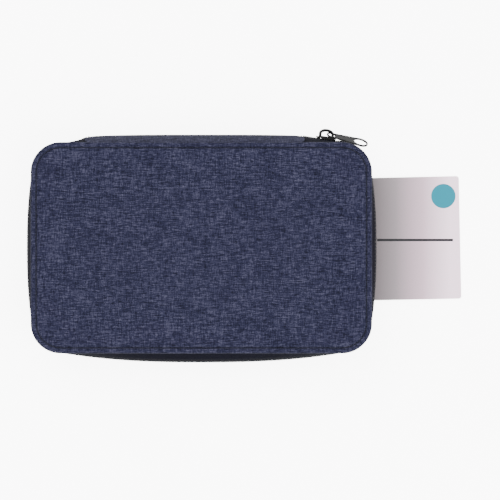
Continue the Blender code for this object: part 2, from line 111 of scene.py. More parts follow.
class Graph:
    """Builds one material's nodes."""

    def __init__(self, name: str, roughness: float, specular: float = 0.1) -> None:
        """Starts a material with constants on its shader.

        Args:
            name: the material's name.
            roughness: the shader's roughness.
            specular: the shader's specular level.
        """
        self.material = bpy.data.materials.new(name)
        self.material.use_nodes = True
        self.tree = self.material.node_tree
        self.shader = self.tree.nodes["Principled BSDF"]
        self.shader.inputs["Roughness"].default_value = roughness
        self.shader.inputs["Specular IOR Level"].default_value = specular
        self.place = self.tree.nodes.new("ShaderNodeTexCoord").outputs["Object"]

    def add(self, kind: str, values: Values | None = None, **settings: object) -> bpy.types.Node:
        """Adds a node.

        Args:
            kind: the node's type name without "ShaderNode".
            values: what goes in each input: a number, or a socket to link.
            settings: the node's own settings.

        Returns:
            The new node.
        """
        node = self.tree.nodes.new(f"ShaderNode{kind}")
        for key, value in settings.items():
            setattr(node, key, value)
        for key, value in (values or {}).items():
            if isinstance(value, Socket):
                self.tree.links.new(value, node.inputs[key])
            else:
                node.inputs[key].default_value = value
        return node

    def noise(self, scale: Sequence[float], detail: float = 2.0) -> Socket:
        """Noise whose grains measure one over the scale, in metres."""
        place = self.add("Mapping", {"Vector": self.place, "Scale": scale}).outputs["Vector"]
        values = {"Vector": place, "Scale": 1.0, "Detail": detail, "Roughness": 0.6}
        return self.add("TexNoise", values).outputs["Fac"]

    def ribs(self, direction: str, pitch: float) -> Socket:
        """Even ribs across X, Y, Z or DIAGONAL, this far apart in metres, as a height from 0 to 1."""
        values = {"Vector": self.place, "Scale": math.pi / 10 / pitch}
        return self.add("TexWave", values, bands_direction=direction).outputs["Fac"]

    def math(self, operation: str, first: object, second: object = 0.0) -> Socket:
        """The result of a Math node on two values."""
        return self.add("Math", {0: first, 1: second}, operation=operation).outputs[0]

    def weighted(self, *parts: tuple[Socket, float]) -> Socket:
        """The sum of values, each times its weight."""
        total = self.math("MULTIPLY", *parts[0])
        for part in parts[1:]:
            total = self.math("ADD", total, self.math("MULTIPLY", *part))
        return total

    def ramp(self, value: Socket, stops: Sequence[tuple[float, Colour]]) -> Socket:
        """A colour read from a ramp with these stops."""
        node = self.add("ValToRGB", {"Fac": value})
        elements = node.color_ramp.elements
        while len(elements) < len(stops):
            elements.new(0.5)
        for element, (position, colour) in zip(elements, stops):
            element.position = position
            element.color = (*colour, 1.0)
        return node.outputs["Color"]

    def mix(self, factor: Socket, first: object, second: object) -> Socket:
        """Two colours mixed by a factor."""
        node = self.add("Mix", {0: factor}, data_type="RGBA")
        for index, value in ((6, first), (7, second)):
            if isinstance(value, Socket):
                self.tree.links.new(value, node.inputs[index])
            else:
                node.inputs[index].default_value = (*value, 1.0)
        return node.outputs[2]

    def finish(self, colour: Socket, height: Socket | None = None, depth: float = 0.0) -> Material:
        """Links the colour and a bump of a depth in metres.

        Args:
            colour: the surface's colour.
            height: the bump's height from 0 to 1, if there is a bump.
            depth: what a height of 1 stands for.

        Returns:
            The finished material.
        """
        self.tree.links.new(colour, self.shader.inputs["Base Color"])
        if height is not None:
            bump = self.add("Bump", {"Height": height, "Strength": 1.0, "Distance": depth})
            self.tree.links.new(bump.outputs["Normal"], self.shader.inputs["Normal"])
        return self.material


@dataclass(frozen=True)
class MelangeFabric:
    """Woven polyester of dark and light navy yarns, with streaks along both thread directions."""

    name: str = "melange_fabric"
    dark: Colour = (0.0012, 0.0013, 0.0062)
    middle: Colour = (0.0076, 0.0080, 0.0226)
    light: Colour = (0.0370, 0.0365, 0.0610)
    stops: tuple[float, ...] = (0.40, 0.50, 0.62)
    thread: float = 0.58 * MM
    slub: float = 4.8 * MM
    clouds: float = 60.0
    flecks: float = 1300.0
    weights: tuple[float, ...] = (0.44, 0.28, 0.22, 0.06)
    relief: tuple[float, float] = (0.6, 0.5)
    depth: float = 0.09 * MM
    sheen: float = 0.04

    def make(self) -> Material:
        """Builds the material.

        Returns:
            A fabric whose yarns run along X and across it.
        """
        graph = Graph(self.name, 0.86)
        graph.shader.inputs["Sheen Weight"].default_value = self.sheen
        graph.shader.inputs["Sheen Roughness"].default_value = 0.5
        fine, long = 1 / self.thread, 1 / self.slub
        weft = graph.noise((long, fine, fine), 3.0)
        warp = graph.noise((fine, long, long), 3.0)
        cloud = graph.noise((self.clouds,) * 3, 1.0)
        fleck = graph.noise((self.flecks,) * 3, 1.0)
        tone = graph.weighted(*zip((weft, warp, fleck, cloud), self.weights))
        colour = graph.ramp(tone, list(zip(self.stops, (self.dark, self.middle, self.light))))
        weave = graph.math("MULTIPLY", graph.ribs("X", self.thread), graph.ribs("Y", self.thread))
        height = graph.weighted(*zip((weave, weft), self.relief))
        return graph.finish(colour, height, self.depth)


@dataclass(frozen=True)
class WovenTape:
    """Close herringbone tape of a zipper."""

    name: str = "woven_tape"
    dark: Colour = (0.0006, 0.0006, 0.0026)
    light: Colour = (0.0034, 0.0035, 0.0090)
    thread: float = 0.5 * MM

    def make(self) -> Material:
        """Builds the material.

        Returns:
            A dark tape with slanted ribs.
        """
        graph = Graph(self.name, 0.78, 0.05)
        graph.shader.inputs["Sheen Weight"].default_value = 0.01
        ribs = graph.math("ADD", graph.ribs("DIAGONAL", self.thread), graph.ribs("Z", self.thread))
        ribs = graph.math("MULTIPLY", ribs, 0.5)
        wear = graph.noise((300.0, 300.0, 900.0))
        tone = graph.weighted((ribs, 0.5), (wear, 0.5))
        colour = graph.ramp(tone, [(0.3, self.dark), (0.75, self.light)])
        return graph.finish(colour, ribs, 0.07 * MM)


@dataclass(frozen=True)
class PlainCloth:
    """Smooth cloth with a fine plain weave, for linings, elastic, net and thread."""

    name: str
    dark: Colour
    light: Colour
    pitch: float = 0.4 * MM
    depth: float = 0.04 * MM
    roughness: float = 0.7
    patches: float = 240.0
    ribbed: bool = False

    def make(self) -> Material:
        """Builds the material.

        Returns:
            A cloth with an even weave, or with ribs across X when it is ribbed.
        """
        graph = Graph(self.name, self.roughness)
        graph.shader.inputs["Sheen Weight"].default_value = 0.03
        weave = graph.ribs("X", self.pitch)
        if not self.ribbed:
            weave = graph.math("MULTIPLY", weave, graph.ribs("Y", self.pitch))
        patches = graph.noise((self.patches,) * 3, 4.0)
        tone = graph.weighted((weave, 0.35), (patches, 0.65))
        colour = graph.ramp(tone, [(0.3, self.dark), (0.7, self.light)])
        return graph.finish(colour, weave, self.depth)


@dataclass(frozen=True)
class Moulded:
    """Moulded nylon, coated metal or board: a grained surface with small wear marks."""

    name: str
    dark: Colour
    light: Colour
    roughness: float
    specular: float = 0.2
    grain: float = 1.2 * MM
    depth: float = 0.01 * MM

    def make(self) -> Material:
        """Builds the material.

        Returns:
            A material with grain and slight wear.
        """
        graph = Graph(self.name, self.roughness, self.specular)
        grain = graph.noise((1 / self.grain,) * 3, 4.0)
        colour = graph.ramp(grain, [(0.35, self.dark), (0.75, self.light)])
        return graph.finish(colour, grain, self.depth)


@dataclass(frozen=True)
class PrintedCard:
    """Coated card with a plain disc and a plain rule as its print, and painted shade that greys it towards
    the case.
    """

    disc: tuple[float, float]
    disc_radius: float
    rule: tuple[float, float]
    rule_half: tuple[float, float]
    shade_span: tuple[float, float]
    middle_z: float
    name: str = "printed_card"
    # Painted shade: these colours grey the card from white towards the case, for the case's shadow and the
    # card's bend.
    case_shadow: Colour = (0.155, 0.135, 0.142)
    shaded: Colour = (0.215, 0.185, 0.198)
    middle: Colour = (0.430, 0.315, 0.370)
    paper: Colour = (0.800, 0.620, 0.720)
    disc_ink: Colour = (0.004, 0.150, 0.205)
    rule_ink: Colour = (0.016, 0.016, 0.018)
    fibres: float = 1200.0

    def make(self) -> Material:
        """Builds the material.

        Returns:
            A white card with painted shade, greyer towards the case for the case's shadow and the card's
            bend, with its print.
        """
        graph = Graph(self.name, 0.38, 0.15)
        split = graph.add("SeparateXYZ", {"Vector": graph.place}).outputs
        # Painted shade: the card darkens over this span towards the case.
        start, end = self.shade_span
        run = graph.math("DIVIDE", graph.math("SUBTRACT", split["X"], start), end - start)
        fibres = graph.noise((self.fibres,) * 3, 4.0)
        run = graph.math("ADD", run, graph.math("MULTIPLY", fibres, 0.04))
        stops = [(0.05, self.case_shadow), (0.3, self.shaded), (0.6, self.middle), (0.9, self.paper)]
        colour = graph.ramp(run, stops)
        squares, inside = [], []
        for key, disc, rule, half in zip("XY", self.disc, self.rule, self.rule_half):
            off_disc = graph.math("SUBTRACT", split[key], disc)
            squares.append(graph.math("MULTIPLY", off_disc, off_disc))
            off_rule = graph.math("ABSOLUTE", graph.math("SUBTRACT", split[key], rule))
            inside.append(graph.math("LESS_THAN", off_rule, half))
        in_disc = graph.math("LESS_THAN", graph.math("ADD", *squares), self.disc_radius**2)
        on_top = graph.math("GREATER_THAN", split["Z"], self.middle_z)
        in_rule = graph.math("MULTIPLY", *inside)
        colour = graph.mix(graph.math("MULTIPLY", in_disc, on_top), colour, self.disc_ink)
        colour = graph.mix(graph.math("MULTIPLY", in_rule, on_top), colour, self.rule_ink)
        return graph.finish(colour, fibres, 0.004 * MM)


# ---------------------------------------------------------------- workbench


def start_clean() -> None:
    """Leaves edit mode and deselects everything."""
    if bpy.context.object and bpy.context.object.mode != "OBJECT":
        bpy.ops.object.mode_set(mode="OBJECT")
    bpy.ops.object.select_all(action="DESELECT")


def add_object(name: str, data: bpy.types.ID | None) -> Piece:
    """Adds an object with this data to the scene."""
    piece = bpy.data.objects.new(name, data)
    bpy.context.scene.collection.objects.link(piece)
    return piece


def take(piece: Piece) -> Piece:
    """Makes a piece the only selected one and the active one."""
    start_clean()
    piece.select_set(True)
    bpy.context.view_layer.objects.active = piece
    return piece


def named(name: str) -> Piece:
    """Names the piece that an operator has just added, and its mesh."""
    piece = bpy.context.object
    piece.name = name
    piece.data.name = name
    return piece


def settle(piece: Piece) -> Piece:
    """Puts a piece's place, turn and scale in its mesh."""
    take(piece)
    bpy.ops.object.transform_apply(location=True, rotation=True, scale=True)
    return piece


def primitive(kind: str, name: str, scale: Sequence[float], **settings: object) -> Piece:
    """Adds one of the primitive meshes to work from.

    Args:
        kind: the primitive's name in the mesh operators.
        name: the piece's name.
        scale: how far it is stretched.
        settings: the operator's settings.

    Returns:
        The piece, with its scale in its mesh.
    """
    start_clean()
    getattr(bpy.ops.mesh, f"primitive_{kind}_add")(**settings)
    piece = named(name)
    piece.scale = scale
    return settle(piece)


def extrude(shift: Sequence[float], size: Sequence[float] = (1.0, 1.0, 1.0)) -> None:
    """Extrudes the picked faces by a shift and resizes their ends."""
    bpy.ops.mesh.extrude_region_move(TRANSFORM_OT_translate={"value": shift})
    bpy.ops.transform.resize(value=size)


def edit(piece: Piece, *steps: Callable[[], object]) -> Piece:
    """Runs steps in edit mode with all of the piece selected.

    Args:
        piece: the piece to edit.
        steps: what to run, in order.

    Returns:
        The same piece, in object mode.
    """
    take(piece)
    bpy.ops.object.mode_set(mode="EDIT")
    bpy.ops.mesh.select_all(action="SELECT")
    for step in steps:
        step()
    bpy.ops.object.mode_set(mode="OBJECT")
    return piece


def pick(piece: Piece, kind: str, wanted: Callable[[Vector], bool]) -> None:
    """Selects the vertices, edges or faces whose middle is wanted.

    Args:
        piece: the piece, in object mode.
        kind: VERT, EDGE or FACE.
        wanted: tells from a middle whether to select.
    """
    take(piece)
    bpy.ops.object.mode_set(mode="EDIT")
    bpy.ops.mesh.select_mode(type=kind)
    bpy.ops.mesh.select_all(action="DESELECT")
    bpy.ops.object.mode_set(mode="OBJECT")
    mesh = piece.data
    if kind == "FACE":
        for face in mesh.polygons:
            face.select = wanted(face.center)
    elif kind == "EDGE":
        for edge in mesh.edges:
            ends = [mesh.vertices[i].co for i in edge.vertices]
            edge.select = wanted((ends[0] + ends[1]) / 2)
    else:
        for vertex in mesh.vertices:
            vertex.select = wanted(vertex.co)
    bpy.ops.object.mode_set(mode="EDIT")


def apply(piece: Piece, kind: str, **settings: object) -> Piece:
    """Adds a modifier and applies it.

    Args:
        piece: the piece to change.
        kind: the modifier's type.
        settings: the modifier's settings.

    Returns:
        The same piece.
    """
    take(piece)
    step = piece.modifiers.new(kind.lower(), kind)
    for key, value in settings.items():
        setattr(step, key, value)
    bpy.ops.object.modifier_apply(modifier=step.name)
    return piece


def rounded(piece: Piece, levels: int = 1) -> Piece:
    """Rounds a piece by subdividing it."""
    return apply(piece, "SUBSURF", levels=levels, render_levels=levels)


def eased(piece: Piece, width: float, segments: int = 2, **limits: float) -> Piece:
    """Eases a piece's sharp edges with a small bevel."""
    return apply(piece, "BEVEL", width=width, segments=segments, limit_method="ANGLE", **limits)


def quads(piece: Piece) -> Piece:
    """Joins a piece's triangles into four-sided faces."""
    return edit(piece, lambda: bpy.ops.mesh.tris_convert_to_quads())


def smooth(piece: Piece, angle: float = 35.0) -> Piece:
    """Shades a piece smooth, except at edges sharper than an angle in degrees."""
    take(piece)
    bpy.ops.object.shade_smooth_by_angle(angle=math.radians(angle))
    return piece


def copy_of_node(node: str, name: str, flat: float = 0.5) -> Piece:
    """Makes a merged copy of a CAD node, with its flat faces joined up.

    Args:
        node: the CAD node.
        name: the copy's name.
        flat: how far, in degrees, joined faces may be from flat. Nothing is joined at 0.

    Returns:
        The copy, riding on nothing.
    """
    mesh = frame["nodes"][node].data.copy()
    mesh.materials.clear()
    if "custom_normal" in mesh.attributes:
        mesh.attributes.remove(mesh.attributes["custom_normal"])
    piece = add_object(name, mesh)
    edit(piece, lambda: bpy.ops.mesh.remove_doubles(threshold=0.002 * MM))
    if flat:
        edit(piece, lambda: bpy.ops.mesh.dissolve_limited(angle_limit=math.radians(flat)))
    return piece


def scatter(name: str, model: Piece, places: Iterable[Matrix]) -> Piece:
    """Copies a small model to many places, as one piece, and removes the model.

    Args:
        name: the new piece's name.
        model: the shape, made at the world's origin.
        places: where each copy goes.

    Returns:
        The piece that holds every copy.
    """
    points = np.array([vertex.co for vertex in model.data.vertices])
    faces = [tuple(face.vertices) for face in model.data.polygons]
    all_points, all_faces = [], []
    for count, place in enumerate(places):
        turn = np.array(place.to_3x3())
        all_points.append(points @ turn.T + np.array(place.translation))
        shift = count * len(points)
        all_faces += [tuple(i + shift for i in face) for face in faces]
    mesh = bpy.data.meshes.new(name)
    mesh.from_pydata(np.concatenate(all_points).tolist(), [], all_faces)
    mesh.update()
    bpy.data.objects.remove(model, do_unlink=True)
    return smooth(add_object(name, mesh), 60.0)


def finish_piece(
    piece: Piece, body: str, material: Material, slot: str, *nodes: str
) -> None:
    """Gives a piece its material and body, and hides the CAD nodes that it stands for.

    Args:
        piece: the finished mesh.
        body: the CAD body that it rides on.
        material: its material.
        slot: not used.
        nodes: the CAD nodes that it stands for.
    """
    piece.data.materials.clear()
    piece.data.materials.append(material)
    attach(piece, body)
    if nodes:
        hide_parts(*nodes)
    LOG.info("%s rides on %s, with %d faces", piece.name, body, len(piece.data.polygons))


def along_line(line: Sequence[Vector]) -> float:
    """The length of a line through points."""
    return sum((b - a).length for a, b in zip(line, line[1:]))


def upright(place: Vector, along: Vector, up: Vector) -> Matrix:
    """A place whose X runs along a direction and whose Z is as near to up as it can be."""
    x = along.normalized()
    y = up.cross(x).normalized()
    z = x.cross(y)
    return Matrix.Translation(place) @ Matrix((x, y, z)).transposed().to_4x4()


@dataclass
class Stitch:
    """One stitch of sewing thread: a plump capsule along X."""

    length: float = 2.1 * MM
    width: float = 0.42 * MM
    height: float = 0.36 * MM
    tip: float = 0.12

    def model(self) -> Piece:
        """Makes the stitch at the origin, with its ends drawn in.

        Returns:
            The model to scatter.
        """
        settings = {"vertices": 8, "radius": 0.5, "depth": 1.0, "rotation": (0.0, math.pi / 2, 0.0)}
        piece = primitive("cylinder", "stitch_model", (1.0, 1.0, 1.0), **settings)
        for end in (-1, 1):
            pick(piece, "FACE", lambda middle, end=end: middle.x * end > 0.4)
            extrude((end * self.tip, 0, 0), (1.0, 0.5, 0.5))
        bpy.ops.object.mode_set(mode="OBJECT")
        piece.scale = (self.length / (1.0 + 2 * self.tip), self.width, self.height)
        return settle(piece)

    def seam(
        self, name: str, line: Sequence[Vector], up: Callable[[Vector], Vector], pitch: float
    ) -> Piece:
        """Sews along a line.

        Args:
            name: the seam's name.
            line: points along the seam.
            up: the direction out of the cloth at a point.
            pitch: the distance from stitch to stitch.

        Returns:
            All the stitches as one piece.
        """
        places = [upright(place, along, up(place)) for place, along in walk(line, pitch)]
        return scatter(name, self.model(), places)


COIL_STITCH = Stitch(1.5 * MM, 0.34 * MM, 0.3 * MM)
HEM_STITCH = Stitch(1.8 * MM, 0.34 * MM, 0.2 * MM)


def walk(line: Sequence[Vector], pitch: float, start: float = 0.5) -> list[tuple[Vector, Vector]]:
    """Steps along a line.

    Args:
        line: points along it.
        pitch: about how far apart the steps are.
        start: where the first step is, in steps from the line's start.

    Returns:
        A place and a direction at each step.
    """
    lengths = [(b - a).length for a, b in zip(line, line[1:])]
    total = sum(lengths)
    count = max(1, round(total / pitch))
    steps, index, passed = [], 0, 0.0
    for i in range(count):
        distance = (i + start) * total / count
        while index < len(lengths) - 1 and passed + lengths[index] < distance:
            passed += lengths[index]
            index += 1
        share = (distance - passed) / max(lengths[index], 1e-9)
        steps.append((line[index].lerp(line[index + 1], share), line[index + 1] - line[index]))
    return steps


# ---------------------------------------------------------------- shape of the case


@dataclass
class CaseShape:
    """The case's lines, read from the CAD nodes' boxes."""

    corner_radius: float = 19.0 * MM
    corner_steps: int = 24
    strip_gap: float = 0.3 * MM
    coil_radius: float = 1.1 * MM
    corner_bulge: float = -1.1 * MM
    lead_bulge: float = 3.3 * MM
    lead_end_bulge: float = -0.6 * MM
    straight_end: float = 84.0 * MM
    chain_end_bulge: float = 0.1 * MM
    tape_thickness: float = 0.7 * MM
    bulge_power: float = 2.5
    spine_power: float = 4.0
    spine_reach: float = 98.0 * MM
    half: Vector = field(init=False)
    mid_z: float = field(init=False)
    spine: tuple[float, float] = field(init=False)
    bulge: dict[str, float] = field(init=False)

    def __post_init__(self) -> None:
        """Reads the boxes."""
        low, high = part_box("front_edge_binding")
        back_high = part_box("back_edge_binding")[1]
        self.half = Vector((high.x, high.y))
        self.mid_z = (low.z + back_high.z) / 2
        spine_low, spine_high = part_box("spine_fabric")
        self.spine = (spine_low.x, spine_high.x)
        coil_low, coil_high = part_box("zipper_coil_back")
        self.bulge = {
            "side": coil_high.x - high.x - self.coil_radius,
            "bottom": -coil_low.y - high.y - self.coil_radius,
            "spine": spine_high.y - high.y - self.strip_gap,
        }

    @property
    def arc(self) -> Vector:
        """The centre of the corner where X and Y are positive."""
        return self.half - Vector((self.corner_radius, self.corner_radius))

    def outline(self, inset: float, z: float, steps: int = 16) -> list[Vector]:
        """The covers' outline.

        Args:
            inset: how far it is drawn in.
            z: its height.
            steps: how many parts each corner has.

        Returns:
            Its points, closed, anticlockwise.
        """
        points = []
        for sign_x, sign_y, first in ((1, 1, 0), (-1, 1, 90), (-1, -1, 180), (1, -1, 270)):
            for step in range(steps + 1):
                angle = math.radians(first + 90 * step / steps)
                reach = self.corner_radius - inset
                x = sign_x * self.arc.x + reach * math.cos(angle)
                points.append(Vector((x, sign_y * self.arc.y + reach * math.sin(angle), z)))
        return points + points[:1]

    def share(self, distance: float, reach: float, power: float) -> float:
        """How much of a bulge is left at a distance from a side's middle."""
        return max(0.0, 1.0 - (abs(distance) / reach) ** power)

    def swell(self, name: str, distance: float, reach: float) -> float:
        """The bulge of a long or short side at a distance from its middle."""
        peak = self.bulge[name] - self.corner_bulge
        return self.corner_bulge + peak * self.share(distance, reach, self.bulge_power)

    def top_swell(self, x: float) -> float:
        """The bulge of the spine's side at an x."""
        left, right = self.spine
        if x > right:
            slope = (self.lead_end_bulge - self.lead_bulge) / (self.arc.x - right)
            bulge = self.lead_bulge + slope * (x - right)
            return max(bulge, self.chain_end_bulge) if x > self.straight_end else bulge
        if x < left:
            near = (self.arc.x + x) / (self.arc.x + left)
            return self.corner_bulge + (self.top_swell(left) - self.corner_bulge) * near**2
        return self.bulge["spine"] * self.share(x, self.spine_reach, self.spine_power)

    def zipper_line(self, z: float, spacing: float = 1.0 * MM) -> list[Vector]:
        """The line of the zipper's teeth, from the spine's right end clockwise to its left end.

        Args:
            z: its height.
            spacing: about how far apart the points are.

        Returns:
            Points along it.
        """
        ax, ay = self.arc
        hx, hy = self.half
        side_end = self.swell("side", ay, ay)

        def run(first: float, last: float, place: Callable[[float], Vector]) -> list[Vector]:
            """Points of one straight side."""
            count = max(2, round(abs(last - first) / spacing))
            return [place(first + (last - first) * i / count) for i in range(count + 1)]

        def bend(sign_x: int, sign_y: int, first: int, bulge: float, last_bulge: float) -> list[Vector]:
            """Points of one corner, clockwise."""
            points = []
            for i in range(1, self.corner_steps):
                share = i / self.corner_steps
                angle = math.radians(first - 90 * share)
                done = 1.0 - (1.0 - share) ** 3 if bulge > 0 else share
                reach = self.corner_radius + bulge + (last_bulge - bulge) * done
                x = sign_x * ax + reach * math.cos(angle)
                points.append(Vector((x, sign_y * ay + reach * math.sin(angle), z)))
            return points

        return (
            run(self.spine[1] + self.strip_gap, ax, lambda x: Vector((x, hy + self.top_swell(x), z)))
            + bend(1, 1, 90, self.chain_end_bulge, side_end)
            + run(ay, -ay, lambda y: Vector((hx + self.swell("side", y, ay), y, z)))
            + bend(1, -1, 0, side_end, self.corner_bulge)
            + run(ax, -ax, lambda x: Vector((x, -hy - self.swell("bottom", x, ax), z)))
            + bend(-1, -1, -90, self.corner_bulge, side_end)
            + run(-ay, ay, lambda y: Vector((-hx - self.swell("side", y, ay), y, z)))
            + bend(-1, 1, -180, side_end, self.corner_bulge)
            + run(-ax, self.spine[0] - self.strip_gap, lambda x: Vector((x, hy + self.top_swell(x), z)))
        )


# ---------------------------------------------------------------- sub-assemblies


@dataclass
class Cover:
    """One padded cover: its swollen panel, rolled edge and the seam between them."""

    side: Side
    shape: CaseShape
    finishes: Finishes
    panel_inset: float = 3.6 * MM
    cell: float = 2.4 * MM
    swell: float = 0.8 * MM
    back_swell: float = 0.2 * MM
    puff_frames: int = 20
    stitch_pitch: float = 2.9 * MM
    stitch_sink: float = 0.22 * MM
    stitch_inset: float = 3.45 * MM
    groove_depth: float = 0.7 * MM
    lining_ease: float = 0.12 * MM
    band_profile: tuple[tuple[float, float], ...] = (
        (0.35, 1.05),
        (0.65, 0.50),
        (1.0, 0.28),
        (1.1, -0.12),
    )

    def build(self) -> None:
        """Builds the cover's pieces."""
        self.build_panel()
        self.build_band()
        self.build_seam()
        self.build_lining()

    def face_z(self) -> float:
        """The height of the cover's outer face."""
        low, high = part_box(f"{self.side.label}_edge_binding")
        return high.z if self.side is Side.FRONT else low.z

    def build_panel(self) -> None:
        """Builds the panel: a grid drawn to the outline, made a pad, and puffed by pressure."""
        label = self.side.label
        foam_low, foam_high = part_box(f"{label}_cover_foam")
        near = foam_low.z if self.side is Side.FRONT else foam_high.z
        far = self.face_z()
        half = self.shape.half - Vector((self.panel_inset, self.panel_inset))
        columns, rows = round(2 * half.x / self.cell), round(2 * half.y / self.cell)
        grid = {"x_subdivisions": columns, "y_subdivisions": rows, "size": 2.0}
        name = f"{label}_padded_panel"
        piece = primitive("grid", name, (half.x, half.y, 1.0), location=UP * near, **grid)
        self.round_corners(piece, half)
        pick(piece, "FACE", lambda middle: True)
        extrude((0, 0, far - near))
        bpy.ops.mesh.select_all(action="SELECT")
        bpy.ops.mesh.normals_make_consistent(inside=False)
        bpy.ops.object.mode_set(mode="OBJECT")
        rise = self.swell if self.side is Side.FRONT else self.back_swell
        self.puff(piece, far, half, rise)
        smooth(rounded(piece), 50.0)
        nodes = (f"{label}_cover_fabric", f"{label}_cover_foam")
        finish_piece(piece, self.side.body, self.finishes["melange"], "navy_fabric", *nodes)

    def round_corners(self, piece: Piece, half: Vector) -> None:
        """Draws the grid's corners in to the outline's arcs.

        Args:
            piece: the flat grid.
            half: its half length and half width.
        """
        radius = self.shape.corner_radius - self.panel_inset
        arc = half - Vector((radius, radius))
        for vertex in piece.data.vertices:
            over_x, over_y = abs(vertex.co.x) - arc.x, abs(vertex.co.y) - arc.y
            if over_x > 0 and over_y > 0:
                reach = math.hypot(over_x, over_y)
                shrink = max(over_x, over_y) / reach
                vertex.co.x = math.copysign(arc.x + over_x * shrink, vertex.co.x)
                vertex.co.y = math.copysign(arc.y + over_y * shrink, vertex.co.y)

    def puff(self, piece: Piece, far: float, half: Vector, cap: float) -> None:
        """Swells the outer face with cloth pressure and caps how far it moves.

        Args:
            piece: the closed pad.
            far: the height of its outer face.
            half: its half length and half width.
            cap: the furthest that a point may move.
        """
        rest = np.array([vertex.co for vertex in piece.data.vertices])
        radius = self.shape.corner_radius - self.panel_inset
        held = []
        for i, point in enumerate(rest):
            over = Vector((abs(point[0]) - half.x + radius, abs(point[1]) - half.y + radius))
            edge = max(over.x, over.y) if min(over) < 0 else over.length
            if abs(point[2] - far) > 0.1 * MM or edge > radius - 0.2 * MM:
                held.append(i)
        group = piece.vertex_groups.new(name="sewn")
        group.add(held, 1.0, "REPLACE")
        take(piece)
        cloth = piece.modifiers.new("cloth", "CLOTH")
        settings = cloth.settings
        settings.vertex_group_mass = "sewn"
        settings.quality = 4
        settings.mass = 0.05
        settings.use_pressure = True
        settings.uniform_pressure_force = 4.0
        settings.effector_weights.gravity = 0.0
        settings.tension_stiffness = 12.0
        settings.bending_stiffness = 1.5
        for step in range(1, self.puff_frames + 1):
            bpy.context.scene.frame_set(step)
        graph = bpy.context.evaluated_depsgraph_get()
        swollen = piece.evaluated_get(graph).data
        moved = np.array([vertex.co for vertex in swollen.vertices]) - rest
        piece.modifiers.remove(cloth)
        piece.vertex_groups.remove(group)
        bpy.context.scene.frame_set(1)
        lengths = np.linalg.norm(moved, axis=1, keepdims=True)
        soft_cap = cap * np.tanh(lengths / cap) / np.maximum(lengths, 1e-12)
        piece.data.vertices.foreach_set("co", (rest + moved * soft_cap).astype(np.float32).ravel())
        piece.data.update()

    def build_band(self) -> None:
        """Builds the rolled edge: half of its section by insets, mirrored over its middle."""
        label = self.side.label
        low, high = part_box(f"{label}_edge_binding")
        middle = (low.z + high.z) / 2
        scale = (*self.shape.half, 1.0)
        name = f"{label}_rolled_edge"
        piece = primitive("plane", name, scale, size=2.0, location=UP * middle)
        corner = {"affect": "VERTICES", "offset": self.shape.corner_radius, "segments": 18}
        edit(piece, lambda: bpy.ops.mesh.bevel(profile=0.5, clamp_overlap=False, **corner))
        pick(piece, "FACE", lambda centre: True)
        for inward, rise in self.band_profile:
            bpy.ops.mesh.inset(thickness=inward * MM, depth=rise * MM, use_even_offset=True)
        bpy.ops.mesh.inset(thickness=0.5 * MM, depth=-self.groove_depth, use_even_offset=True)
        left = sum(rise for _, rise in self.band_profile) * MM - self.groove_depth
        bpy.ops.mesh.inset(thickness=0.15 * MM, depth=-left, use_even_offset=True)
        bpy.ops.mesh.delete(type="FACE")
        bpy.ops.object.mode_set(mode="OBJECT")
        helper = add_object("band_middle", None)
        helper.location.z = middle
        bpy.context.view_layer.update()
        mirror = {"use_axis": (False, False, True), "mirror_object": helper}
        apply(piece, "MIRROR", merge_threshold=0.02 * MM, **mirror)
        bpy.data.objects.remove(helper, do_unlink=True)
        edit(piece, lambda: bpy.ops.mesh.normals_make_consistent(inside=False))
        smooth(rounded(piece, 2), 60.0)
        node = f"{label}_edge_binding"
        finish_piece(piece, self.side.body, self.finishes["melange"], "navy_binding", node)

    def build_seam(self) -> None:
        """Sews the panel to the edge along the groove."""
        label = self.side.label
        out = UP * self.side.value
        line = self.shape.outline(self.stitch_inset, self.face_z() - out.z * self.stitch_sink)
        piece = Stitch().seam(f"{label}_edge_stitches", line, lambda _: out, self.stitch_pitch)
        finish_piece(piece, self.side.body, self.finishes["thread"], "navy_binding")

    def build_lining(self) -> None:
        """Builds the lining with eased edges."""
        node = f"{self.side.label}_lining"
        piece = smooth(eased(copy_of_node(node, f"{node}_cloth"), self.lining_ease))
        finish_piece(piece, self.side.body, self.finishes["lining"], "lining", node)


